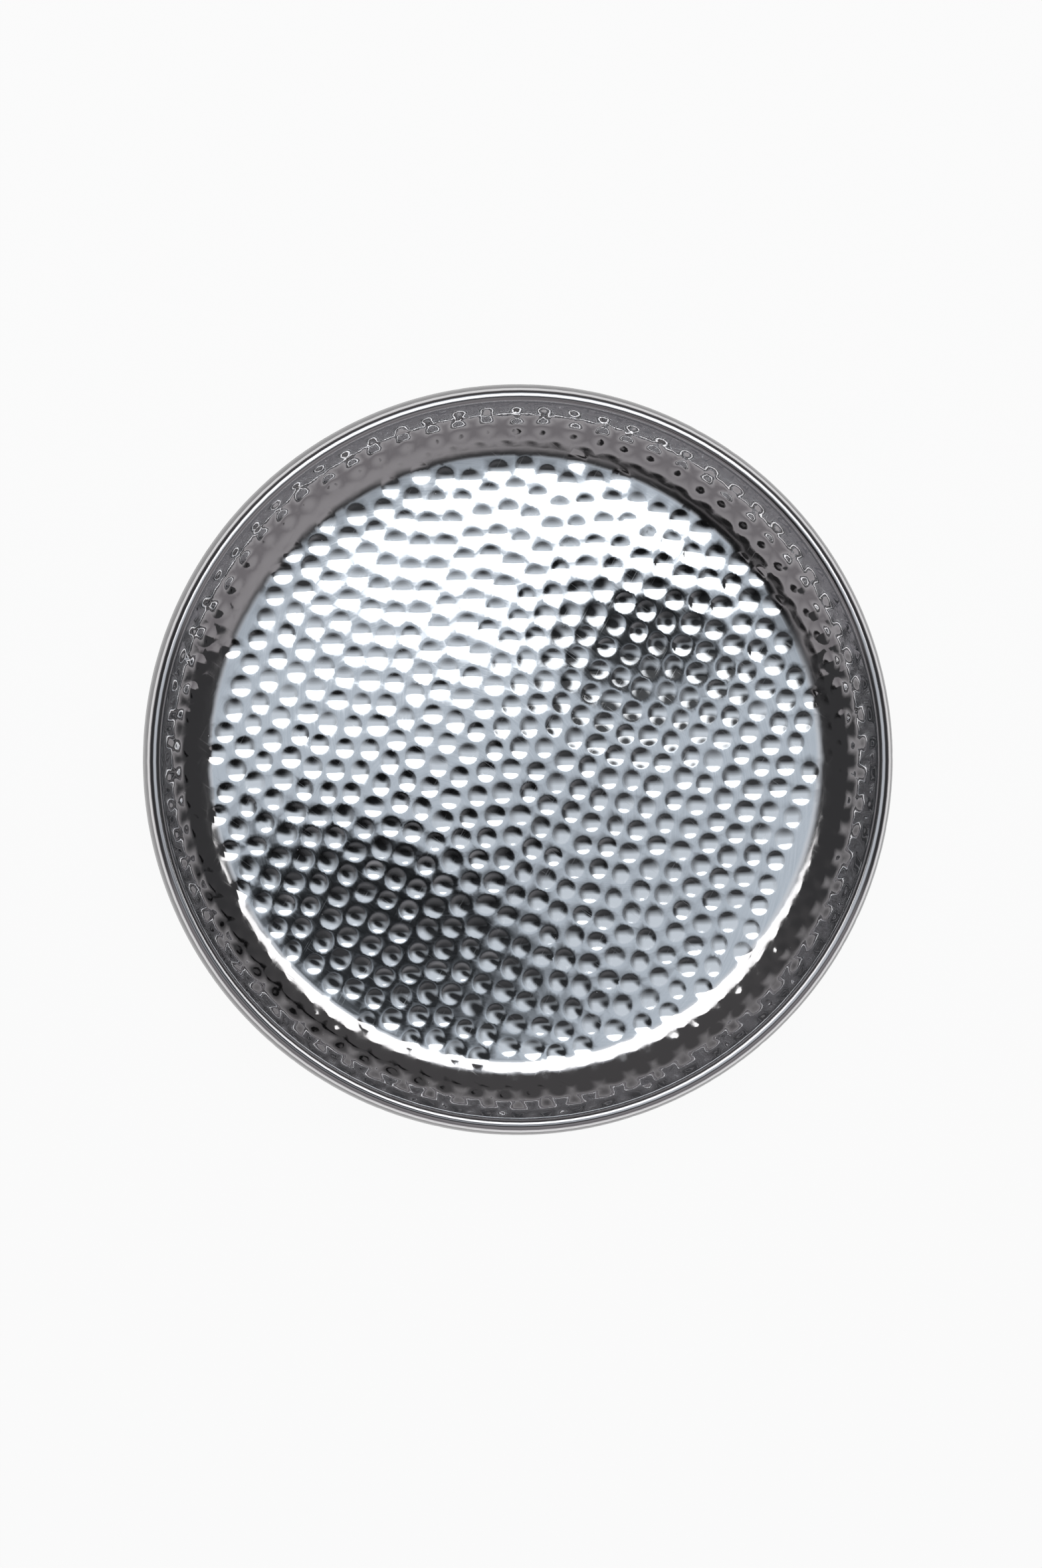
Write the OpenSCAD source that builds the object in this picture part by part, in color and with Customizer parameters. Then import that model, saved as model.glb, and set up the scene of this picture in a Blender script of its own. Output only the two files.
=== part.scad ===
// Round hammered steel tray.
// A sheet pan with a flat floor and a bowed wall carries rows of shallow round hammer marks.
// A smooth bead is closed over the lip of the pan, and a wire inside the bead stiffens it.
// Millimetres, +Z up, with the origin at the middle of the face that the tray rests on.

/* [Tray] */
// Outside diameter of the rim bead
rim_d = 300; // [260:1:340]
// Height from the resting face to the top of the bead
tray_h = 47; // [40:0.5:60]
// How far the wall bows out past the bead, on the radius
belly_out = 2.4; // [1.2:0.1:3]
// Thickness of the pan's sheet
sheet_t = 1.2; // [1:0.1:1.4]
// Inside radius of the bend between the floor and the wall
corner_r = 12; // [5:0.5:16]
// Slope of the wall where it leaves the bend, in degrees from the floor
wall_slope = 22; // [18:1:34]
// Outside radius of the shoulder that turns the wall in under the bead
shoulder_r = 16; // [14:0.5:20]

/* [Rim] */
// Diameter of the bead's round section
bead_d = 5.9; // [5.6:0.1:7.5]
// Thickness of the bead's strip
bead_t = 0.7; // [0.5:0.05:0.8]
// Space between the lip and the outer side of the bead
lip_gap = 0.75; // [0.6:0.05:0.9]
// Clearance on each face of the lip where it enters the bead
lip_fit = 0.03; // [0.02:0.01:0.1]
// Clearance around the wire
wire_fit = 0.1; // [0.05:0.01:0.15]

/* [Hammer marks] */
// Diameter of a mark
mark_d = 8.2; // [6:0.1:9]
// Depth of a mark
mark_depth = 0.5; // [0.3:0.05:0.6]
// Distance between marks along a row
mark_pitch = 9.9; // [9.6:0.1:14]
// Distance between rows
row_pitch = 9.7; // [9.6:0.1:14]
// Direction of the rows, in degrees from +X
row_turn = 69.5; // [0:0.5:180]
// Share of the free space between marks that their scatter uses
scatter = 0.7; // [0:0.05:0.8]

/* [Hidden] */
$fa = 1;
$fs = 0.5;

// Arcs that run into a neighbour cross it by this much, so that their outlines truly meet.
cross = 0.005;

// Bead section, and the lip's place in it, measured outward from the middle of the bead.
bead_r = bead_d / 2;
cavity_r = bead_r - bead_t;
bead_cr = rim_d / 2 - bead_r;
bead_cz = tray_h - bead_r;
lip_in = cavity_r - lip_gap - sheet_t;
lip_mid = lip_in + sheet_t / 2;
lip_below = 1.1 * bead_r;
lip_above = cavity_r / 4;

// The wire fills what the lip leaves of the bead's inside.
wire_d = cavity_r + lip_in - 2 * wire_fit;
wire_mid = (lip_in - cavity_r) / 2;

// The shoulder turns in until the lip runs straight to its place in the bead.
belly_edge = rim_d / 2 + belly_out;
shoulder_cr = belly_edge - shoulder_r;
lip_arm = shoulder_r - sheet_t / 2 - lip_mid;
tuck = acos((bead_cr - shoulder_cr) / norm([lip_arm, lip_below])) - atan2(lip_below, lip_arm);
belly_z = bead_cz - lip_arm * sin(tuck) - lip_below * cos(tuck);

// The bow reaches from the bend up to the belly line, and sets how wide the flat floor is.
bow_in = (belly_z - sheet_t - corner_r * (1 - cos(wall_slope))) / cos(wall_slope);
bow_cr = belly_edge - sheet_t - bow_in;
floor_r = bow_cr + (bow_in - corner_r) * sin(wall_slope);

// A hammer head is a ball that leaves a mark of the given diameter at the given depth.
ball_r = (mark_d * mark_d / 4 + mark_depth * mark_depth) / (2 * mark_depth);
head_r = mark_d / 2 + 0.1;

// A number from -1 to 1 that looks like chance but is fixed for a mark and a purpose.
function chance(row, step, use) =
    let (v = 437.5 * sin(127.1 * row + 311.7 * step + 74.7 * use))
    2 * (v - floor(v)) - 1;

// Marks in rows of even pitch: each row starts at its own place, and every mark strays a little.
stray = scatter * (min(mark_pitch, row_pitch) - 2 * head_r) / 2;
field_r = floor_r - head_r;
row_count = ceil(field_r / row_pitch);
step_count = ceil(field_r / mark_pitch) + 1;
marks = [
    for (row = [-row_count:row_count], step = [-step_count:step_count])
        let (along = (step + chance(row, 0, 1) / 2) * mark_pitch + stray * chance(row, step, 2))
        let (across = row * row_pitch + stray * chance(row, step, 3))
        if (norm([along, across]) < field_r) [along, across]
];

// Slice of a disc between two directions in degrees, less than a quarter turn apart.
module slice(r, from, to) {
    intersection() {
        circle(r);
        polygon([[0, 0], 2 * r * [cos(from), sin(from)], 2 * r * [cos(to), sin(to)]]);
    }
}

// Half outline of the space inside the tray, grown outward by a thickness.
// The less it is grown, the taller it stands at the lip, so that it cuts the lip's end open.
module inside_outline(grow) {
    foot = sheet_t - grow;
    bend = corner_r + grow;
    turn = shoulder_r - sheet_t + grow;
    difference() {
        intersection() {
            union() {
                square([bow_cr, belly_z]);
                translate([bow_cr, belly_z])
                    circle(bow_in + grow);
            }
            translate([0, foot])
                square([rim_d, belly_z - foot]);
        }
        translate([floor_r, sheet_t + corner_r])
            difference() {
                slice(2 * bend, -90, wall_slope - 90);
                circle(bend + cross);
            }
    }
    translate([shoulder_cr, belly_z])
        rotate(tuck)
            intersection() {
                union() {
                    slice(turn + cross, -tuck - 20, 0);
                    square([turn, lip_below + lip_above + foot]);
                }
                translate([0, -shoulder_r])
                    square([turn, 3 * shoulder_r]);
            }
}

// The bead's own axes: x runs outward across the lip, y runs up along it.
module at_bead() {
    translate([bead_cr, bead_cz])
        rotate(tuck)
            children();
}

// Cap of the hammer head that dips below z = 0 by a mark's depth and stands as much above it.
module hammer_head() {
    rotate_extrude($fa = 6)
        intersection() {
            translate([0, ball_r - mark_depth])
                circle(ball_r);
            translate([0, -2 * mark_depth])
                square([head_r, 3 * mark_depth]);
        }
}

module hammered_pan() {
    color([0.66, 0.69, 0.72])
        difference() {
            rotate_extrude()
                difference() {
                    inside_outline(sheet_t);
                    inside_outline(0);
                }
            for (m = marks)
                rotate(row_turn)
                    translate([m[0], m[1], sheet_t])
                        hammer_head();
        }
}

module rim_bead() {
    color([0.80, 0.80, 0.82])
        rotate_extrude()
            at_bead()
                difference() {
                    circle(bead_r);
                    circle(cavity_r);
                    translate([lip_in - lip_fit, -2 * bead_r])
                        square([sheet_t + 2 * lip_fit, 2 * bead_r]);
                }
}

module rim_wire() {
    color([0.45, 0.46, 0.48])
        rotate_extrude()
            at_bead()
                translate([wire_mid, 0])
                    circle(d = wire_d);
}

hammered_pan();
rim_bead();
rim_wire();
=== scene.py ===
"""Round hammered steel tray: satin hammered floor, polished hammered wall and a smooth rolled rim."""
import math

import bpy
import numpy as np
from mathutils import Matrix, Vector
from mathutils.geometry import delaunay_2d_cdt
from mathutils.kdtree import KDTree


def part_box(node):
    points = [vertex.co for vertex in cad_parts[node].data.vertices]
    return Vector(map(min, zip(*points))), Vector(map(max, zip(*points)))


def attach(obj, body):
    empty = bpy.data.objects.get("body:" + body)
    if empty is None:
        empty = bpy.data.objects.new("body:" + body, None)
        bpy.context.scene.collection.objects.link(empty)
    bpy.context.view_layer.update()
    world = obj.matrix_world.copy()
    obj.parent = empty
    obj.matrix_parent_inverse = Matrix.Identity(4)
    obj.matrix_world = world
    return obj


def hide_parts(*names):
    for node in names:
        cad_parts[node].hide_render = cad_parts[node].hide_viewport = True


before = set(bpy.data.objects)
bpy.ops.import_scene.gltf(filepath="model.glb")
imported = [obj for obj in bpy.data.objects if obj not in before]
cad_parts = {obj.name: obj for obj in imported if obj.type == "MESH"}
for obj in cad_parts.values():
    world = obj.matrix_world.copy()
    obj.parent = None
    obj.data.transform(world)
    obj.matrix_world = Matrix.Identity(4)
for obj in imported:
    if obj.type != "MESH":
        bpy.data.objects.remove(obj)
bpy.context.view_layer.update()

# Sizes are in metres, in the frame of the solids: +Z up, origin under the middle of the floor.
MM = 0.001
bead_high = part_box("rim_bead")[1]
pan_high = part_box("hammered_pan")[1]
RIM_R = round(bead_high[0], 4)
RIM_TOP = round(bead_high[2], 4)
BELLY_R = round(pan_high[0], 4)
BEAD_R = 2.95 * MM
BEAD_STRIP = 0.7 * MM
LIP_GAP = 0.75 * MM
SHEET = 1.2 * MM
CORNER_R = 12 * MM
WALL_SLOPE = math.radians(22)
SHOULDER_R = 16 * MM

# Hammer marks on the floor lie in slanting rows, as in the solids.
MARK_R = 4.1 * MM
MARK_DEPTH = 0.5 * MM
MARK_PITCH = 9.9 * MM
ROW_PITCH = 9.7 * MM
ROW_TURN = math.radians(69.5)
HEAD_R = MARK_R + 0.1 * MM
SCATTER = 0.7
FLOOR_MARKS_PAST = 0.5 * MM
FLOOR_SOFTNESS = 0.3
JOIN_SHARPNESS = 5
# Places struck harder than the rest: middle, reach and strength.
HARD_BLOWS = [((-58 * MM, -54 * MM), 36 * MM, 0.7), ((58 * MM, 58 * MM), 28 * MM, 1.0)]

# Hammer marks on the wall lie in rings, and each has a low rim raised round it.
WALL_MARK_WIDE = 3.9 * MM
WALL_MARK_HIGH = 3.9 * MM
WALL_RIM_REACH = 1.8
# Depth of each ring of the wall, and the share by which it is deeper towards +Y.
WALL_ROW_DEPTHS = np.array([0.08, 0.33, 0.2, 0.3, 0.3, 0.3, 0.3]) * MM
WALL_ROW_CHANGES = np.array([0.5, 0.55, -0.6, 0, 0, 0, 0])
WALL_ROWS = len(WALL_ROW_DEPTHS)
WALL_MARKS_IN_ROW = 74
WALL_STRAY = 1.3 * MM
WALL_STRAY_UP = 0.4 * WALL_STRAY
WALL_WANDER = 0.8 * MM

# How marks differ: shares of the plain size and depth, what a hard blow adds, and what chance adds.
FLOOR_SIZE = 1.04
WALL_SIZE = 0.98
HARD_WIDER = 0.05
SIZE_CHANGE = 0.08
STRETCH_CHANGE = 0.09
FLOOR_DEPTH = 0.9
HARD_DEEPER = 0.35
DEPTH_CHANGE = 0.18
LEAN_CHANGE = 0.25
LEAST_LEAN, MOST_LEAN = 0.6, 1.4
NEAR_MARKS = 4

# Each mark stands out as a low bump on the outside. The hammering fades out below the lip, on each face.
BUMP_OUT = 0.3 * MM
INNER_FADE = 4 * MM
OUTER_FADE = 12 * MM

# Low forms in the floor: a dome, ridges, slow waves and a raised edge.
FLOOR_DOME = 0.9 * MM
DOME_REACH = 34 * MM
DOME_PLACE = (8 * MM, 28 * MM)
# Middle of each ridge, direction in which the floor rises to it, height, width of the steep side and of
# the gentle side, and length to either side.
FLOOR_RIDGES = [
    ((-40 * MM, -28 * MM), math.radians(66), 2.7 * MM, 30 * MM, 60 * MM, 42 * MM),
    ((56 * MM, 76 * MM), math.radians(80), 1.1 * MM, 18 * MM, 45 * MM, 28 * MM)]
FLOOR_WAVE = 0.06 * MM
# Share of each wave, how fast it runs along x and y, and where it starts.
WAVES = [(1, 5.1, 1.3, 0.6), (1, -2.2, 4.6, 2.0), (0.5, 9.0, -6.4, 1.0), (0.5, 6.0, 10.4, 0)]
WAVES_TOP = sum(wave[0] for wave in WAVES)
FORMS_FADE = 4
EDGE_RISE = 1.1 * MM
EDGE_RISE_WIDE = 18 * MM
EDGE_RISE_END = 5 * MM
EDGE_RISE_FADE = 45 * MM

# Points of the mesh: rings round each mark, as share of its radius and count, and rings round the tray.
INNER_FLOOR_RINGS = [(0.25, 7), (0.48, 12), (0.7, 16), (0.9, 18), (1.1, 18)]
INNER_WALL_RINGS = [(0.35, 8), (0.65, 12), (0.95, 15), (1.25, 16)]
OUTER_RINGS = [(0.9, 10), (1.15, 10)]
INNER_GAP = 2.6 * MM
OUTER_GAP = 4 * MM
CLOSEST_POINTS = 0.45 * MM
CLEAR_OF_MARKS = 1.22
FEWEST_IN_RING = 6
EDGE_POINTS = 480
SLOPE_STEP = 0.05 * MM
SAME_POINT = 1e-6

# The section of the pan, from the same relations as the solids.
cavity_r = BEAD_R - BEAD_STRIP
bead_cr = RIM_R - BEAD_R
bead_cz = RIM_TOP - BEAD_R
lip_in = cavity_r - LIP_GAP - SHEET
lip_mid = lip_in + SHEET / 2
LIP_BELOW = 1.1 * BEAD_R
LIP_ABOVE = cavity_r / 4
shoulder_cr = BELLY_R - SHOULDER_R
lip_arm = SHOULDER_R - SHEET / 2 - lip_mid
lip_turn = math.acos((bead_cr - shoulder_cr) / math.hypot(lip_arm, LIP_BELOW))
TUCK = lip_turn - math.atan2(LIP_BELOW, lip_arm)
belly_z = bead_cz - lip_arm * math.sin(TUCK) - LIP_BELOW * math.cos(TUCK)
BOW_R = (belly_z - SHEET - CORNER_R * (1 - math.cos(WALL_SLOPE))) / math.cos(WALL_SLOPE)
bow_cr = BELLY_R - SHEET - BOW_R
FLOOR_R = bow_cr + (BOW_R - CORNER_R) * math.sin(WALL_SLOPE)
TURN_R = SHOULDER_R - SHEET

# Lengths along the section, from the middle of the floor to the end of the lip.
END_CORNER = FLOOR_R + CORNER_R * WALL_SLOPE
END_BOW = END_CORNER + BOW_R * (math.pi / 2 - WALL_SLOPE)
END_SHOULDER = END_BOW + TURN_R * TUCK
END_LIP = END_SHOULDER + LIP_BELOW + LIP_ABOVE


def section(run):
    """Inner face of the plain pan at lengths along its section: radius, height and slope from level."""
    corner = np.clip((run - FLOOR_R) / CORNER_R, 0, WALL_SLOPE)
    bow = np.clip((run - END_CORNER) / BOW_R, 0, math.pi / 2 - WALL_SLOPE)
    shoulder = np.clip((run - END_BOW) / TURN_R, 0, TUCK)
    lip = np.clip(run - END_SHOULDER, 0, None)
    radius = np.minimum(run, FLOOR_R) + CORNER_R * np.sin(corner)
    height = SHEET + CORNER_R * (1 - np.cos(corner))
    radius += BOW_R * (np.sin(WALL_SLOPE + bow) - math.sin(WALL_SLOPE))
    height += BOW_R * (math.cos(WALL_SLOPE) - np.cos(WALL_SLOPE + bow))
    radius += TURN_R * (np.cos(shoulder) - 1) - lip * math.sin(TUCK)
    height += TURN_R * np.sin(shoulder) + lip * math.cos(TUCK)
    return radius, height, corner + bow + shoulder


def polar(flat):
    """Length along the section and angle round the tray of points of the unrolled sheet."""
    return np.hypot(flat[:, 0], flat[:, 1]), np.arctan2(flat[:, 1], flat[:, 0])


def unrolled(run, turn):
    """Points of the unrolled sheet at lengths along the section and angles round the tray."""
    return np.stack([run * np.cos(turn), run * np.sin(turn)], axis=-1)


def chance(row, step, use):
    """A number from -1 to 1 that is fixed for a mark and a purpose, as in the solids."""
    value = 437.5 * np.sin(np.radians(127.1 * row + 311.7 * step + 74.7 * use))
    return 2 * (value - np.floor(value)) - 1


def floor_marks():
    """Centres of the floor's marks on the unrolled sheet."""
    stray = SCATTER * (min(MARK_PITCH, ROW_PITCH) - 2 * HEAD_R) / 2
    rows = math.ceil((FLOOR_R - HEAD_R) / ROW_PITCH)
    steps = math.ceil((FLOOR_R - HEAD_R) / MARK_PITCH) + 1
    row, step = np.meshgrid(np.arange(-rows, rows + 1), np.arange(-steps, steps + 1), indexing="ij")
    row, step = row.ravel(), step.ravel()
    along = (step + chance(row, 0, 1) / 2) * MARK_PITCH + stray * chance(row, step, 2)
    across = row * ROW_PITCH + stray * chance(row, step, 3)
    run, turn = polar(np.stack([along, across], axis=1))
    return unrolled(run, turn + ROW_TURN)[run < FLOOR_R + FLOOR_MARKS_PAST]


def wall_marks():
    """Centres of the wall's marks on the unrolled sheet, staggered from ring to ring."""
    row, step = np.meshgrid(np.arange(WALL_ROWS), np.arange(WALL_MARKS_IN_ROW), indexing="ij")
    row, step = row.ravel(), step.ravel()
    row_high = (END_BOW - END_CORNER) / WALL_ROWS
    turn = (step + row / 2) * 2 * math.pi / WALL_MARKS_IN_ROW + WALL_STRAY / RIM_R * chance(row, step, 4)
    run = END_CORNER + (row + 0.5) * row_high + WALL_WANDER * np.sin(turn)
    run += WALL_STRAY_UP * chance(row, step, 5)
    return unrolled(run, turn)


def hardness(places):
    """How much harder than elsewhere the sheet was struck at places on it."""
    share = np.zeros(len(places))
    for middle, reach, strength in HARD_BLOWS:
        share += strength * np.exp(-((places - np.array(middle)) ** 2).sum(1) / (2 * reach ** 2))
    return share


FLOOR_PLACES = floor_marks()
WALL_PLACES = wall_marks()
PLACES = np.concatenate([FLOOR_PLACES, WALL_PLACES])
PLACE_RUNS, PLACE_TURNS = polar(PLACES)
mark_ids = np.arange(len(PLACES))
ON_WALL = mark_ids >= len(FLOOR_PLACES)
hard = hardness(PLACES)
SIZES = np.where(ON_WALL, WALL_SIZE, FLOOR_SIZE + HARD_WIDER * hard) + SIZE_CHANGE * chance(mark_ids, 4, 10)
stretch = 1 + STRETCH_CHANGE * chance(mark_ids, 5, 11)
STRETCHES = np.stack([stretch, 1 / stretch], axis=1)
floor_depths = MARK_DEPTH * (FLOOR_DEPTH + HARD_DEEPER * hard[~ON_WALL])
wall_changes = np.repeat(WALL_ROW_CHANGES, WALL_MARKS_IN_ROW) * np.sin(PLACE_TURNS[ON_WALL])
wall_depths = np.repeat(WALL_ROW_DEPTHS, WALL_MARKS_IN_ROW) * (1 + wall_changes)
DEPTHS = np.concatenate([floor_depths, wall_depths]) * (1 + DEPTH_CHANGE * chance(mark_ids, 0, 6))
LEANS = LEAN_CHANGE * np.stack([chance(mark_ids, 2, 8), chance(mark_ids, 3, 9)], axis=1)
PLACE_TREE = KDTree(len(PLACES))
for mark_id, mark_place in enumerate(PLACES):
    PLACE_TREE.insert((mark_place[0], mark_place[1], 0), mark_id)
PLACE_TREE.balance()


def nearest_marks(flat):
    """The few marks nearest to each point of the unrolled sheet."""
    found = [PLACE_TREE.find_n((x, y, 0), NEAR_MARKS) for x, y in flat.tolist()]
    return np.array([[mark[1] for mark in marks] for marks in found])


def floor_cap(reach):
    """Depth of a floor mark at a share of its radius: 1 in the middle, with a softened edge."""
    rest = 1 - reach ** 2
    return (rest + np.sqrt(rest ** 2 + FLOOR_SOFTNESS ** 2)) / 2


def wall_cap(reach):
    """Depth of a wall mark at a share of its radius: 1 in the middle, below 0 on its raised rim."""
    return (1 - reach ** 2) * np.clip(1 - (reach / WALL_RIM_REACH) ** 2, 0, 1) ** 2


def hammering(flat, near):
    """Depth of the hammering at points of the unrolled sheet, and how far they lie inside a mark."""
    run, turn = polar(flat)
    on_floor = (flat[:, None] - PLACES[near]) / MARK_R
    spin = (turn[:, None] - PLACE_TURNS[near] + math.pi) % (2 * math.pi) - math.pi
    up = (run[:, None] - PLACE_RUNS[near]) / WALL_MARK_HIGH
    side = spin * section(run)[0][:, None] / WALL_MARK_WIDE
    on_wall = np.stack([up, side], axis=2)
    of_wall = ON_WALL[near]
    reach = np.where(of_wall[:, :, None], on_wall, on_floor) / SIZES[near][:, :, None]
    away = np.linalg.norm(reach * STRETCHES[near], axis=2)
    inside = np.where(of_wall, wall_cap(away), floor_cap(away))
    lean = np.clip(1 + (reach * LEANS[near]).sum(2), LEAST_LEAN, MOST_LEAN)
    hammered = np.clip((END_SHOULDER - run) / INNER_FADE, 0, 1)
    depths = inside * lean * DEPTHS[near]
    joined = (np.where(of_wall, 0, depths) ** JOIN_SHARPNESS).sum(1) ** (1 / JOIN_SHARPNESS)
    joined += np.where(of_wall, depths, 0).sum(1)
    return joined * hammered, np.clip(inside.max(1), 0, 1) * hammered


def ridges(flat):
    """Height of the floor's low ridges."""
    high = np.zeros(len(flat))
    for place, turn, top, steep, gentle, long in FLOOR_RIDGES:
        off = flat - np.array(place)
        up = off[:, 0] * math.cos(turn) + off[:, 1] * math.sin(turn)
        side = off[:, 1] * math.cos(turn) - off[:, 0] * math.sin(turn)
        high += top * np.exp(-(up / np.where(up < 0, steep, gentle)) ** 2 / 2 - (side / long) ** 2 / 2)
    return high


def raised_edge(run):
    """Height of the floor's raised edge, which runs out in the wall."""
    rise = np.clip((run - FLOOR_R + EDGE_RISE_WIDE) / EDGE_RISE_WIDE, 0, 1) ** 2
    rise += EDGE_RISE_END / EDGE_RISE_WIDE * (1 - np.clip(1 - (run - FLOOR_R) / EDGE_RISE_END, 0, 1) ** 2)
    fade = np.clip(1 - (run - FLOOR_R - EDGE_RISE_END) / EDGE_RISE_FADE, 0, 1)
    return EDGE_RISE * rise * fade ** 2 * (3 - 2 * fade)


def waviness(flat):
    """Height of the low forms in the floor, never below the plain floor."""
    x, y = flat[:, 0] / FLOOR_R, flat[:, 1] / FLOOR_R
    rest = np.clip(1 - (x * x + y * y), 0, 1)
    waves = sum(share * np.sin(by_x * x + by_y * y + start) for share, by_x, by_y, start in WAVES)
    off_dome = np.linalg.norm(flat - np.array(DOME_PLACE), axis=1) / DOME_REACH
    low_forms = FLOOR_DOME * np.exp(-off_dome ** 2 / 2) + FLOOR_WAVE * (waves + WAVES_TOP) + ridges(flat)
    return low_forms * np.minimum(1, FORMS_FADE * rest) + raised_edge(polar(flat)[0])


def placed(flat, lift):
    """Points of the unrolled sheet set on the pan, moved off its inner face by lift."""
    run, turn = polar(flat)
    radius, height, slope = section(run)
    radius = radius - lift * np.sin(slope)
    return np.stack([radius * np.cos(turn), radius * np.sin(turn), height + lift * np.cos(slope)], axis=1)


def inner_face(flat, near):
    """The hammered face that the tray shows from above."""
    return placed(flat, waviness(flat) - hammering(flat, near)[0])


def outer_face(flat, near):
    """The outside of the sheet, drawn in between the marks so that each one stands out as a low bump."""
    hammered = np.clip((END_SHOULDER - polar(flat)[0]) / OUTER_FADE, 0, 1)
    between = np.clip(1 - hammering(flat, near)[1], 0, 1)
    return placed(flat, waviness(flat) + BUMP_OUT * hammered * between - SHEET)


def normals_of(face, flat, near):
    """Directions square to a face of the sheet, from its slopes along and across the section."""
    turn = polar(flat)[1]
    out = unrolled(np.ones_like(turn), turn)
    side = unrolled(np.ones_like(turn), turn + math.pi / 2)
    along = face(flat + SLOPE_STEP * out, near) - face(flat - SLOPE_STEP * out, near)
    across = face(flat + SLOPE_STEP * side, near) - face(flat - SLOPE_STEP * side, near)
    square = np.cross(along, across)
    return square / np.linalg.norm(square, axis=1, keepdims=True)


def ring_angles(index, count):
    """Angles of the points on a ring, every second ring turned by half a step."""
    return (np.arange(count) + 0.5 * (index % 2)) * 2 * math.pi / count


def mark_rings(floor_rings, wall_rings):
    """Points of the unrolled sheet in the middle of every mark and on rings round it."""
    floor_r = MARK_R * SIZES[~ON_WALL]
    wall_runs, wall_turns, wall_sizes = PLACE_RUNS[ON_WALL], PLACE_TURNS[ON_WALL], SIZES[ON_WALL]
    wall_r = section(wall_runs)[0]
    points = [PLACES]
    for index, (share, count) in enumerate(floor_rings):
        for angle in ring_angles(index, count):
            way = np.array([math.cos(angle), math.sin(angle)])
            points.append(FLOOR_PLACES + share * floor_r[:, None] * way)
    for index, (share, count) in enumerate(wall_rings):
        for angle in ring_angles(index, count):
            run = wall_runs + share * wall_sizes * WALL_MARK_HIGH * math.cos(angle)
            turn = wall_turns + share * wall_sizes * WALL_MARK_WIDE * math.sin(angle) / wall_r
            points.append(unrolled(run, turn))
    return np.concatenate(points)


def rings_round(runs, gap):
    """Points on rings round the tray at lengths along the section, about a gap apart."""
    points = []
    for index, run in enumerate(runs):
        count = max(FEWEST_IN_RING, int(2 * math.pi * section(np.array([run]))[0][0] / gap))
        points.append(unrolled(np.full(count, run), ring_angles(index, count)))
    return np.concatenate(points)


def outside_marks(points, share):
    """Only the points that lie further from every mark than a share of its radius."""
    return points[hammering(points, nearest_marks(points))[1] < floor_cap(share)]


def spread_apart(points, gap):
    """Drops points that share a cell of about the gap with an earlier one."""
    cell = np.round(points / gap).astype(np.int64)
    first = np.unique(cell[:, 0] * 1_000_003 + cell[:, 1], return_index=True)[1]
    return points[np.sort(first)]


def sheet_points(floor_rings, wall_rings, gap):
    """Points of one face of the sheet, finest round the marks, with the lip's edge last."""
    between = outside_marks(rings_round(np.arange(gap, END_SHOULDER, gap), gap), CLEAR_OF_MARKS)
    bends = rings_round([END_SHOULDER, END_SHOULDER + LIP_BELOW], 2 * gap)
    marks = mark_rings(floor_rings, wall_rings)
    marks = marks[polar(marks)[0] < END_SHOULDER - gap / 2]
    points = spread_apart(np.concatenate([marks, between, bends]), CLOSEST_POINTS)
    edge = unrolled(np.full(EDGE_POINTS, END_LIP), ring_angles(0, EDGE_POINTS))
    return np.concatenate([points, edge])


def triangles_between(points):
    """Triangles over points of the unrolled sheet, all facing the same way."""
    found = delaunay_2d_cdt([Vector(point) for point in points / MM], [], [], 0, SAME_POINT)
    order = [origins[0] for origins in found[3]]
    faces = np.array([[order[i] for i in face] for face in found[2]])
    a, b, c = (points[faces[:, i]] for i in range(3))
    left = (b[:, 0] - a[:, 0]) * (c[:, 1] - a[:, 1]) - (b[:, 1] - a[:, 1]) * (c[:, 0] - a[:, 0])
    faces[left < 0] = faces[left < 0][:, ::-1]
    return faces


def smooth_piece(name, points, faces, normals):
    """A smooth mesh object with its own normals."""
    mesh = bpy.data.meshes.new(name)
    mesh.from_pydata(points.tolist(), [], faces.tolist())
    mesh.update()
    mesh.polygons.foreach_set("use_smooth", np.ones(len(mesh.polygons), bool))
    mesh.normals_split_custom_set_from_vertices(normals.tolist())
    piece = bpy.data.objects.new(name, mesh)
    bpy.context.scene.collection.objects.link(piece)
    return piece


def keep_value(piece, name, values):
    """Keeps a value for each point of a piece, for its material to read."""
    kept = piece.data.attributes.new(name, "FLOAT", "POINT")
    kept.data.foreach_set("value", values.astype(np.float32))


def make_pan():
    """The hammered sheet as one closed mesh that knows its marks and its outside."""
    inner = sheet_points(INNER_FLOOR_RINGS, INNER_WALL_RINGS, INNER_GAP)
    outer = sheet_points(OUTER_RINGS, OUTER_RINGS, OUTER_GAP)
    inner_near, outer_near = nearest_marks(inner), nearest_marks(outer)
    top = len(inner) - EDGE_POINTS + np.arange(EDGE_POINTS)
    under = top + len(outer)
    next_top, next_under = np.roll(top, -1), np.roll(under, -1)
    faces = np.concatenate([
        triangles_between(inner),
        triangles_between(outer)[:, ::-1] + len(inner),
        np.stack([top, under, next_under], axis=1),
        np.stack([top, next_under, next_top], axis=1)])
    points = np.concatenate([inner_face(inner, inner_near), outer_face(outer, outer_near)])
    normals = np.concatenate([
        normals_of(inner_face, inner, inner_near), -normals_of(outer_face, outer, outer_near)])
    sheet = smooth_piece("hammered_pan_sheet", points, faces, normals)
    inside = np.concatenate([hammering(inner, inner_near)[1], hammering(outer, outer_near)[1]])
    keep_value(sheet, "mark", np.clip(inside, 0, 1))
    keep_value(sheet, "outside", np.arange(len(points)) >= len(inner))
    return sheet


pan = make_pan()
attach(pan, "root")
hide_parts("hammered_pan")


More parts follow.
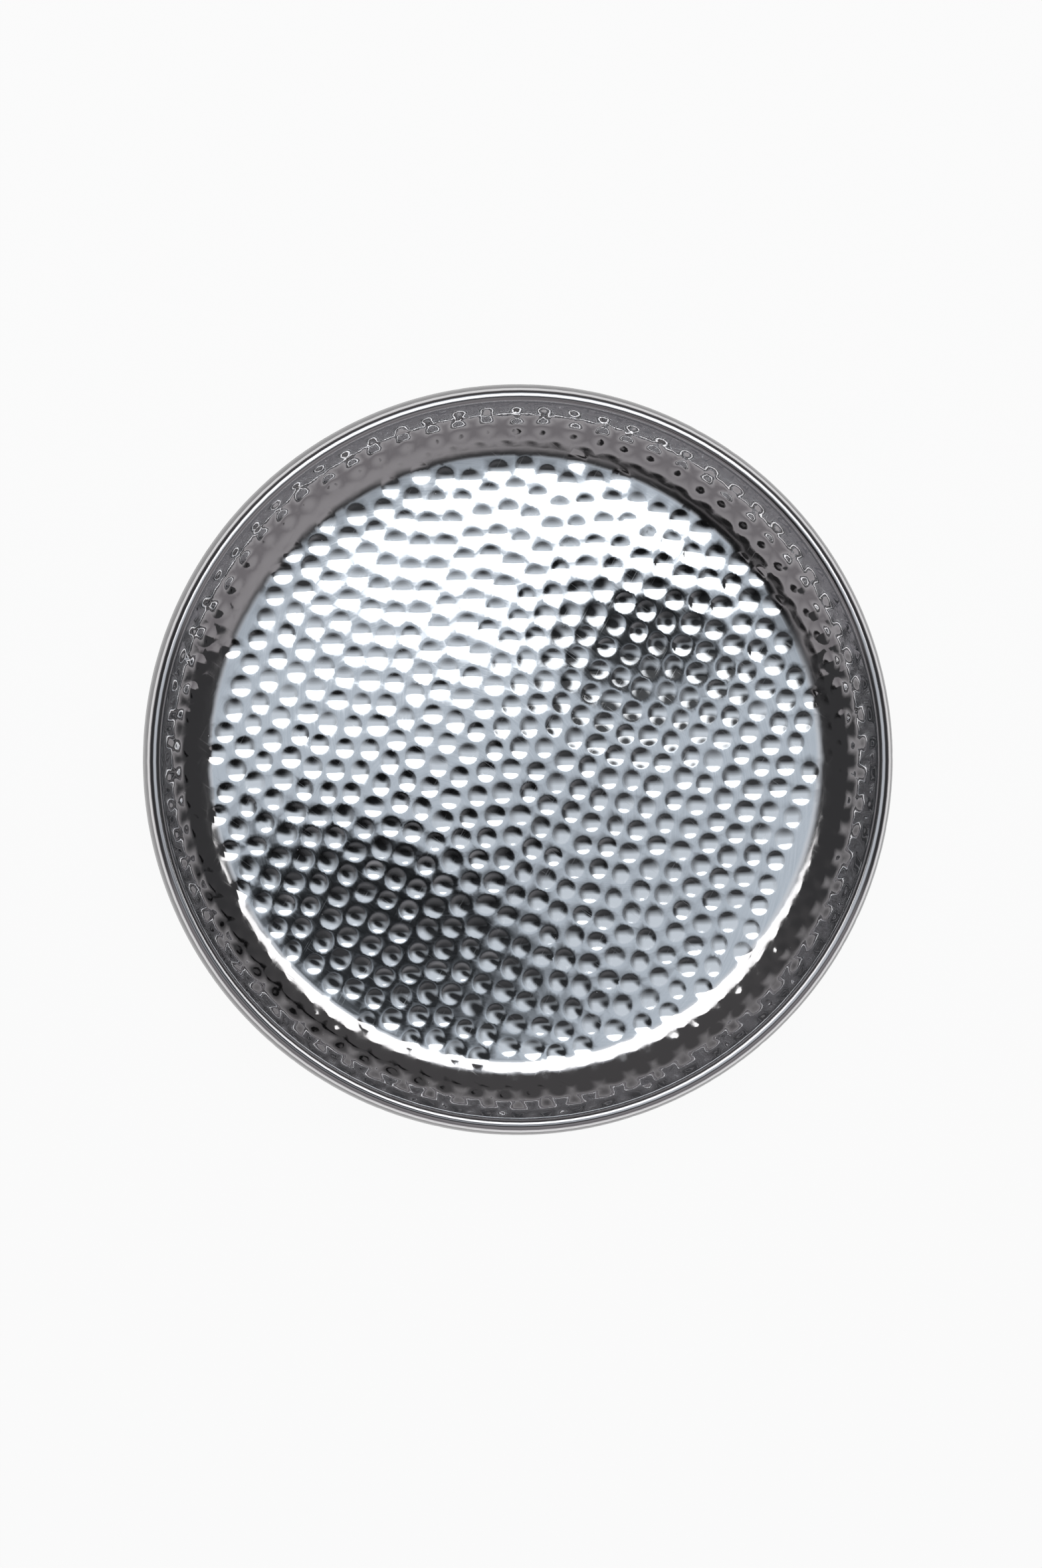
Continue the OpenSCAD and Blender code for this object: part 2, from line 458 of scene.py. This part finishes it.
def add(tree, kind, inputs=None, **settings):
    """A shader node with its own settings, and its inputs given as values or as other sockets."""
    node = tree.nodes.new(kind)
    for name, value in settings.items():
        setattr(node, name, value)
    for name, value in (inputs or {}).items():
        if isinstance(value, bpy.types.NodeSocket):
            tree.links.new(value, node.inputs[name])
        else:
            node.inputs[name].default_value = value
    return node


def calc(tree, operation, a, b=0.0):
    return add(tree, "ShaderNodeMath", {0: a, 1: b}, operation=operation).outputs[0]


def calc_places(tree, operation, a, b=(0, 0, 0)):
    return add(tree, "ShaderNodeVectorMath", {0: a, 1: b}, operation=operation).outputs


def spread(tree, value, low, high, to_low, to_high, smooth=True):
    """A value carried from one range to another and held at its ends."""
    kind = "SMOOTHSTEP" if smooth else "LINEAR"
    return add(tree, "ShaderNodeMapRange", {"Value": value, 1: low, 2: high, 3: to_low, 4: to_high},
               interpolation_type=kind).outputs[0]


def blend_values(tree, share, first, second):
    return add(tree, "ShaderNodeMix", {0: share, 2: first, 3: second}).outputs[0]


def blend_colours(tree, share, first, second):
    return add(tree, "ShaderNodeMix", {0: share, 6: first, 7: second}, data_type="RGBA").outputs[2]


def new_group(name, inputs, outputs):
    """An empty shader node group: its tree, and its inputs by name."""
    group = bpy.data.node_groups.new(name, "ShaderNodeTree")
    for socket, kind, value in inputs:
        made = group.interface.new_socket(socket, in_out="INPUT", socket_type=kind)
        if value is not None:
            made.default_value = value
    for socket, kind in outputs:
        group.interface.new_socket(socket, in_out="OUTPUT", socket_type=kind)
    return group, add(group, "NodeGroupInput").outputs


def make_brush_strokes():
    """Fine lines left by a round brush: arcs about a middle, each fading out after a short way."""
    group, given = new_group(
        "brush_strokes",
        [("Place", "NodeSocketVector", None), ("Middle", "NodeSocketVector", None),
         ("Fineness", "NodeSocketFloat", 2000.0), ("Shortness", "NodeSocketFloat", 60.0)],
        [("Stroke", "NodeSocketFloat")])
    away = calc_places(group, "SUBTRACT", given["Place"], given["Middle"])[0]
    reach = calc_places(group, "LENGTH", away)["Value"]
    parts = add(group, "ShaderNodeSeparateXYZ", {0: away}).outputs
    lines = add(group, "ShaderNodeCombineXYZ", {
        0: calc(group, "MULTIPLY", reach, given["Fineness"]),
        1: calc(group, "MULTIPLY", parts["X"], given["Shortness"]),
        2: calc(group, "MULTIPLY", parts["Y"], given["Shortness"])}).outputs[0]
    stroke = add(group, "ShaderNodeTexNoise", {"Vector": lines, "Scale": 1.0, "Detail": 2.0}).outputs["Fac"]
    add(group, "NodeGroupOutput", {"Stroke": stroke})
    return group


def make_handling_film():
    """Faint cloudy film left by wiping and hands."""
    group, given = new_group(
        "handling_film",
        [("Place", "NodeSocketVector", None), ("Size", "NodeSocketFloat", 20.0)],
        [("Film", "NodeSocketFloat")])
    cloud = add(group, "ShaderNodeTexNoise", {
        "Vector": given["Place"], "Scale": given["Size"], "Detail": 4.0, "Distortion": 0.6}).outputs["Fac"]
    add(group, "NodeGroupOutput", {"Film": spread(group, cloud, 0.4, 0.7, 0.0, 1.0)})
    return group


def make_dust_specks():
    """Single specks of pale dust, far apart."""
    group, given = new_group(
        "dust_specks",
        [("Place", "NodeSocketVector", None), ("Closeness", "NodeSocketFloat", 300.0),
         ("Share", "NodeSocketFloat", 0.2)],
        [("Speck", "NodeSocketFloat")])
    cells = add(group, "ShaderNodeTexVoronoi", {
        "Vector": given["Place"], "Scale": given["Closeness"]}).outputs
    pick = add(group, "ShaderNodeSeparateColor", {0: cells["Color"]}).outputs
    here = calc(group, "LESS_THAN", pick["Red"], given["Share"])
    size = spread(group, pick["Green"], 0.0, 1.0, 0.03, 0.08)
    grain = spread(group, cells["Distance"], size, 0.01, 0.0, 1.0, False)
    add(group, "NodeGroupOutput", {"Speck": calc(group, "MULTIPLY", here, grain)})
    return group


def make_fine_scratches():
    """Short hair scratches that run one way."""
    group, given = new_group(
        "fine_scratches",
        [("Place", "NodeSocketVector", None), ("Turn", "NodeSocketFloat", 0.0)],
        [("Scratch", "NodeSocketFloat")])
    turned = add(group, "ShaderNodeVectorRotate", {
        "Vector": given["Place"], "Angle": given["Turn"]}, rotation_type="Z_AXIS").outputs[0]
    drawn = calc_places(group, "MULTIPLY", turned, (2400, 70, 1))[0]
    hairs = add(group, "ShaderNodeTexNoise", {"Vector": drawn, "Scale": 1.0, "Detail": 0.0}).outputs["Fac"]
    add(group, "NodeGroupOutput", {"Scratch": spread(group, hairs, 0.72, 0.8, 0.0, 1.0)})
    return group


BRUSH_STROKES = make_brush_strokes()
HANDLING_FILM = make_handling_film()
DUST_SPECKS = make_dust_specks()
FINE_SCRATCHES = make_fine_scratches()


def strokes(tree, place, middle, fineness, shortness):
    return add(tree, "ShaderNodeGroup", {
        "Place": place, "Middle": middle, "Fineness": fineness, "Shortness": shortness},
        node_tree=BRUSH_STROKES).outputs["Stroke"]


def film(tree, place, size):
    return add(tree, "ShaderNodeGroup", {"Place": place, "Size": size},
               node_tree=HANDLING_FILM).outputs["Film"]


def dust(tree, place, closeness, share):
    return add(tree, "ShaderNodeGroup", {"Place": place, "Closeness": closeness, "Share": share},
               node_tree=DUST_SPECKS).outputs["Speck"]


def scratches(tree, place, turn):
    return add(tree, "ShaderNodeGroup", {"Place": place, "Turn": turn},
               node_tree=FINE_SCRATCHES).outputs["Scratch"]


# Colours of the finishes.
BRUSHED_DARK = (0.62, 0.655, 0.69, 1)
BRUSHED_LIGHT = (0.70, 0.73, 0.765, 1)
STRUCK_STEEL = (0.83, 0.85, 0.87, 1)
WALL_STEEL = (0.80, 0.79, 0.795, 1)
# Outside colour: a darker mill finish, made dark enough to also stand in for the dark reflection on the
# outside, which is painted shade.
OUTSIDE_DARK_FINISH_AND_SHADE = (0.255, 0.25, 0.255, 1)
# Lighter colour of the outside's raised marks: a painted highlight on the bumps.
OUTSIDE_PAINTED_HIGHLIGHT = (0.31, 0.305, 0.31, 1)
OUTSIDE_WORN = (0.2, 0.196, 0.2, 1)
BEAD_STEEL = (0.66, 0.65, 0.66, 1)
WIRE_STEEL = (0.45, 0.46, 0.48, 1)
PALE_DUST = (0.8, 0.79, 0.78, 1)

# Roughness of the finishes: a range where brush strokes change it.
FLAT_ROUGH = (0.07, 0.15)
STRUCK_ROUGH = 0.05
WALL_ROUGH = 0.045
OUTSIDE_ROUGHER = (0.2, 0.12)
BEAD_ROUGH = (0.11, 0.16)
WIRE_ROUGH = (0.35, 0.5)
SCRATCH_ROUGH = 0.22
DUST_ROUGH = 0.7

# The floor was brushed about two middles. The polish begins on the bend.
BRUSH_LEFT = (-32 * MM, -23.5 * MM, 0)
BRUSH_RIGHT = (45 * MM, 23 * MM, 0)
TRAY_MIDDLE = (0, 0, 0)
POLISH_FROM, POLISH_FULL = FLOOR_R + 4.5 * MM, FLOOR_R + 9 * MM
WALL_COLOUR_FROM, WALL_COLOUR_FULL = FLOOR_R - 1 * MM, FLOOR_R + 1 * MM


def new_material(name):
    material = bpy.data.materials.new(name)
    material.use_nodes = True
    material.node_tree.nodes.clear()
    return material, material.node_tree


def finish_steel(tree, colour, roughness, normal, metal=1.0):
    shader = add(tree, "ShaderNodeBsdfPrincipled", {
        "Metallic": metal, "Base Color": colour, "Roughness": roughness, "Normal": normal})
    add(tree, "ShaderNodeOutputMaterial", {"Surface": shader.outputs[0]})


def point_value(tree, name):
    return add(tree, "ShaderNodeAttribute", attribute_name=name).outputs["Fac"]


def dulled_steel_and_painted_light(tree, place, raised):
    """Colour of the outside: darker steel that carries painted shade for its dark reflection, lighter on
    the raised marks as a painted highlight, lined round the tray and clouded.
    """
    # Painted highlight: the raised marks get a lighter colour in place of the light their bumps would
    # catch.
    colour = blend_colours(tree, raised, OUTSIDE_DARK_FINISH_AND_SHADE, OUTSIDE_PAINTED_HIGHLIGHT)
    lined = spread(tree, strokes(tree, place, TRAY_MIDDLE, 2600, 25), 0.35, 0.65, 0.0, 0.5)
    clouded = calc(tree, "MULTIPLY", film(tree, place, 28.0), 0.4)
    colour = blend_colours(tree, lined, colour, OUTSIDE_WORN)
    return blend_colours(tree, clouded, colour, OUTSIDE_WORN)


def make_hammered_steel():
    """Brushed floor that turns into a polished wall, with a dull outside whose colour carries painted shade
    and painted highlights on its bumps.
    """
    material, tree = new_material("hammered_steel")
    place = add(tree, "ShaderNodeTexCoord").outputs["Object"]
    level = calc_places(tree, "MULTIPLY", place, (1, 1, 0))[0]
    reach = calc_places(tree, "LENGTH", level)["Value"]
    wall = spread(tree, reach, POLISH_FROM, POLISH_FULL, 0.0, 1.0)
    wall_coloured = spread(tree, reach, WALL_COLOUR_FROM, WALL_COLOUR_FULL, 0.0, 1.0)
    mark, outside = point_value(tree, "mark"), point_value(tree, "outside")
    struck = spread(tree, mark, 0.12, 0.4, 0.0, 1.0)
    raised = spread(tree, mark, 0.0, 1.0, 0.0, 1.0)
    stroke = blend_values(
        tree, film(tree, place, 9.0),
        strokes(tree, place, BRUSH_LEFT, 1800, 70), strokes(tree, place, BRUSH_RIGHT, 2200, 70))
    scratch = calc(tree, "MAXIMUM", scratches(tree, place, 0.5), scratches(tree, place, 2.2))
    scratch = calc(tree, "MULTIPLY", scratch, calc(tree, "SUBTRACT", 1.0, wall))
    speck = dust(tree, place, 300.0, 0.16)

    rough = blend_values(tree, struck, spread(tree, stroke, 0.25, 0.75, *FLAT_ROUGH, False), STRUCK_ROUGH)
    rough = blend_values(tree, wall, rough, WALL_ROUGH)
    rough = calc(tree, "ADD", rough, calc(tree, "MULTIPLY", film(tree, place, 40.0), 0.02))
    rough = calc(tree, "MAXIMUM", rough, calc(tree, "MULTIPLY", scratch, SCRATCH_ROUGH))
    rough = calc(tree, "MAXIMUM", rough, calc(tree, "MULTIPLY", speck, DUST_ROUGH))
    rougher = spread(tree, raised, 0.0, 1.0, *OUTSIDE_ROUGHER, False)
    rough = calc(tree, "ADD", rough, calc(tree, "MULTIPLY", outside, rougher))

    brushed = spread(tree, stroke, 0.3, 0.7, 0.0, 1.0, False)
    colour = blend_colours(tree, brushed, BRUSHED_DARK, BRUSHED_LIGHT)
    colour = blend_colours(tree, struck, colour, STRUCK_STEEL)
    colour = blend_colours(tree, wall_coloured, colour, WALL_STEEL)
    colour = blend_colours(tree, outside, colour, dulled_steel_and_painted_light(tree, place, raised))
    colour = blend_colours(tree, speck, colour, PALE_DUST)
    metal = calc(tree, "SUBTRACT", 1.0, calc(tree, "MULTIPLY", speck, 0.8))

    grain = add(tree, "ShaderNodeTexNoise", {"Vector": place, "Scale": 900.0, "Detail": 3.0}).outputs["Fac"]
    height = calc(tree, "SUBTRACT", blend_values(tree, wall, stroke, grain), scratch)
    normal = add(tree, "ShaderNodeBump", {"Height": height, "Strength": 0.6, "Distance": 0.0004 * MM})
    finish_steel(tree, colour, rough, normal.outputs[0], metal)
    return material


def make_polished_steel():
    """Rolled rim, polished along its length."""
    material, tree = new_material("polished_steel")
    place = add(tree, "ShaderNodeTexCoord").outputs["Object"]
    stroke = strokes(tree, place, TRAY_MIDDLE, 3000, 25)
    speck = dust(tree, place, 300.0, 0.1)
    rough = spread(tree, stroke, 0.3, 0.7, *BEAD_ROUGH, False)
    rough = calc(tree, "ADD", rough, calc(tree, "MULTIPLY", film(tree, place, 30.0), 0.03))
    rough = calc(tree, "MAXIMUM", rough, calc(tree, "MULTIPLY", speck, DUST_ROUGH))
    normal = add(tree, "ShaderNodeBump", {"Height": stroke, "Strength": 0.5, "Distance": 0.001 * MM})
    finish_steel(tree, blend_colours(tree, speck, BEAD_STEEL, PALE_DUST), rough, normal.outputs[0])
    return material


def make_wire_steel():
    """Drawn wire, dull and lined along its length."""
    material, tree = new_material("wire_steel")
    place = add(tree, "ShaderNodeTexCoord").outputs["Object"]
    stroke = strokes(tree, place, TRAY_MIDDLE, 5000, 15)
    rough = spread(tree, stroke, 0.3, 0.7, *WIRE_ROUGH, False)
    normal = add(tree, "ShaderNodeBump", {"Height": stroke, "Strength": 0.6, "Distance": 0.004 * MM})
    finish_steel(tree, WIRE_STEEL, rough, normal.outputs[0])
    return material


def refinish(node, material):
    """Gives a node of the solids its finished material."""
    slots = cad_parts[node].data.materials
    slots.clear()
    slots.append(material)


pan.data.materials.append(make_hammered_steel())
refinish("rim_bead", make_polished_steel())
refinish("rim_wire", make_wire_steel())

# The studio: a pale ground, a soft box overhead, two dark cards and a dim room.
GROUND_HALF = 12.0
GROUND_GLOW = 0.94
GROUND_PAINT = (0.9, 0.9, 0.9, 1)
SOFT_BOX_PLACE = (0.03, 0.38, 0.92)
SOFT_BOX_SIZE = (1.06, 0.53)
SOFT_BOX_RADIANCE = 1.25
CARD_CLOTH = (0.02, 0.02, 0.02, 1)
# Name of each dark card, its middle, its width and depth, and its turn in degrees.
DARK_CARDS = [("dark_card_left", (-0.066, -0.098, 0.3), (0.28, 0.135), -24),
              ("dark_card_right", (0.066, 0.05, 0.12), (0.105, 0.07), -10)]
ROOM_SIDES = (0.04, 0.04, 0.042, 1)
ROOM_BEHIND = (0.065, 0.063, 0.065, 1)
SCREEN_LOW = (0.17, 0.16, 0.17, 1)
SCREEN_HIGH = (0.29, 0.28, 0.29, 1)
PALE_HORIZON = (0.37, 0.36, 0.37, 1)
BLUE_GREY_PATCH = (0.64, 0.68, 0.73, 1)


def flat_board(name, corners, material):
    """A flat board of the studio."""
    mesh = bpy.data.meshes.new(name)
    mesh.from_pydata(corners, [], [range(len(corners))])
    mesh.materials.append(material)
    board = bpy.data.objects.new(name, mesh)
    bpy.context.scene.collection.objects.link(board)
    return board


def make_ground():
    """Pale floor that keeps the tray's soft shadow and looks the same in the steel."""
    material, tree = new_material("pale_ground")
    rays = add(tree, "ShaderNodeLightPath").outputs
    mirrored = calc(tree, "MAXIMUM", rays["Is Glossy Ray"], rays["Is Transmission Ray"])
    seen = calc(tree, "MAXIMUM", rays["Is Camera Ray"], mirrored)
    paint = add(tree, "ShaderNodeBsdfDiffuse", {"Color": GROUND_PAINT}).outputs[0]
    white = add(tree, "ShaderNodeEmission", {"Color": (1, 1, 1, 1), "Strength": 1.0}).outputs[0]
    glow = calc(tree, "MULTIPLY", seen, GROUND_GLOW)
    ground = add(tree, "ShaderNodeMixShader", {0: glow, 1: paint, 2: white})
    add(tree, "ShaderNodeOutputMaterial", {"Surface": ground.outputs[0]})
    half = GROUND_HALF
    flat_board("ground", [(-half, -half, 0), (half, -half, 0), (half, half, 0), (-half, half, 0)], material)


def soft_card(name, centre, size, turn):
    """A dark oval card hung over the tray, fading out to its edge, which shows only in the steel."""
    material, tree = new_material(name + "_cloth")
    place = add(tree, "ShaderNodeTexCoord").outputs["Object"]
    reach = calc_places(tree, "MULTIPLY", place, (2 / size[0], 2 / size[1], 0))[0]
    reach = calc_places(tree, "LENGTH", reach)["Value"]
    clear = add(tree, "ShaderNodeBsdfTransparent").outputs[0]
    cloth = add(tree, "ShaderNodeBsdfDiffuse", {"Color": CARD_CLOTH}).outputs[0]
    dark = spread(tree, reach, 1.0, 0.35, 0.0, 0.97)
    card_shader = add(tree, "ShaderNodeMixShader", {0: dark, 1: clear, 2: cloth})
    add(tree, "ShaderNodeOutputMaterial", {"Surface": card_shader.outputs[0]})
    edge = [math.radians(angle) for angle in range(0, 360, 10)]
    corners = [(size[0] / 2 * math.cos(angle), size[1] / 2 * math.sin(angle), 0) for angle in edge]
    card = flat_board(name, corners, material)
    card.matrix_world = Matrix.Translation(centre) @ Matrix.Rotation(math.radians(turn), 4, "Z")
    card.visible_camera = False
    card.visible_shadow = False
    card.visible_diffuse = False


def soft_box(name, centre, size, radiance):
    """A wide lamp that faces down and looks equally bright from everywhere."""
    lamp = bpy.data.lights.new(name, "AREA")
    lamp.shape = "RECTANGLE"
    lamp.size, lamp.size_y = size
    lamp.energy = radiance * math.pi * size[0] * size[1]
    box = bpy.data.objects.new(name, lamp)
    box.location = centre
    box.visible_camera = False
    bpy.context.scene.collection.objects.link(box)


def make_room():
    """Dim room with a blue-grey patch overhead, a grey screen towards -Y and a pale horizon."""
    world = bpy.data.worlds.new("studio")
    bpy.context.scene.world = world
    world.use_nodes = True
    tree = world.node_tree
    tree.nodes.clear()
    way = add(tree, "ShaderNodeTexCoord").outputs["Generated"]
    parts = add(tree, "ShaderNodeSeparateXYZ", {0: way}).outputs
    height = parts["Z"]
    level = calc_places(tree, "MULTIPLY", way, (1, 1, 0))[0]
    level = calc_places(tree, "NORMALIZE", level)[0]
    ahead = add(tree, "ShaderNodeSeparateXYZ", {0: level}).outputs["Y"]

    room = blend_colours(tree, spread(tree, ahead, 0.3, 0.8, 0.0, 1.0), ROOM_SIDES, ROOM_BEHIND)
    low_down = spread(tree, height, 0.95, 0.78, 0.0, 1.0)
    screen = calc(tree, "MULTIPLY", spread(tree, ahead, -0.34, -0.40, 0.0, 1.0), low_down)
    grey = blend_colours(tree, spread(tree, height, 0.3, 0.75, 0.0, 1.0), SCREEN_LOW, SCREEN_HIGH)
    room = blend_colours(tree, screen, room, grey)
    near_level = spread(tree, height, 0.42, 0.08, 0.0, 1.0)
    horizon = calc(tree, "MULTIPLY", near_level, spread(tree, ahead, -1.0, 1.0, 1.0, 0.5))
    room = blend_colours(tree, horizon, room, PALE_HORIZON)

    side, front = (calc(tree, "DIVIDE", parts[axis], height) for axis in "XY")
    patch = spread(tree, front, -0.27, -0.04, 0.0, 1.0, False)
    across = spread(tree, calc(tree, "ABSOLUTE", side), 0.55, 0.2, 0.0, 1.0)
    patch = calc(tree, "MULTIPLY", patch, across)
    patch = calc(tree, "MULTIPLY", patch, spread(tree, height, 0.7, 0.8, 0.0, 1.0))
    room = blend_colours(tree, patch, room, BLUE_GREY_PATCH)
    back = add(tree, "ShaderNodeBackground", {"Color": room, "Strength": 1.0})
    add(tree, "ShaderNodeOutputWorld", {"Surface": back.outputs[0]})


make_ground()
make_room()
soft_box("soft_box", SOFT_BOX_PLACE, SOFT_BOX_SIZE, SOFT_BOX_RADIANCE)
for card_name, card_middle, card_size, card_turn in DARK_CARDS:
    soft_card(card_name, card_middle, card_size, card_turn)

# The camera looks down from a little to the upper left, with +Y up in the picture.
IMAGE_WIDE, IMAGE_HIGH = 1568, 2359
TRAY_MIDDLE_PIXEL = (784.3, 1145.5)
RIM_PIXELS = 561
CAMERA_AWAY = 1.6
CAMERA_FAR = 40
SENSOR = 36
LEAN = math.radians(3.45)
LEAN_TOWARD = math.radians(150)
pixel = RIM_R / RIM_PIXELS
aim_x = (IMAGE_WIDE / 2 - TRAY_MIDDLE_PIXEL[0]) * pixel
aim_y = (TRAY_MIDDLE_PIXEL[1] - IMAGE_HIGH / 2) * pixel
aim = Vector((aim_x, aim_y, RIM_TOP))
toward = Vector((
    math.sin(LEAN) * math.cos(LEAN_TOWARD), math.sin(LEAN) * math.sin(LEAN_TOWARD), math.cos(LEAN)))
right = Vector((0, 1, 0)).cross(toward).normalized()
up = toward.cross(right)
camera_data = bpy.data.cameras.new("camera")
camera_data.sensor_width = SENSOR
camera_data.lens = SENSOR * CAMERA_AWAY / (IMAGE_HIGH * pixel)
camera_data.clip_end = CAMERA_FAR
camera = bpy.data.objects.new("camera", camera_data)
facing = Matrix((right, up, toward)).transposed().to_4x4()
camera.matrix_world = Matrix.Translation(aim + CAMERA_AWAY * toward) @ facing
bpy.context.scene.collection.objects.link(camera)
bpy.context.scene.camera = camera
bpy.context.scene.view_settings.view_transform = "Standard"
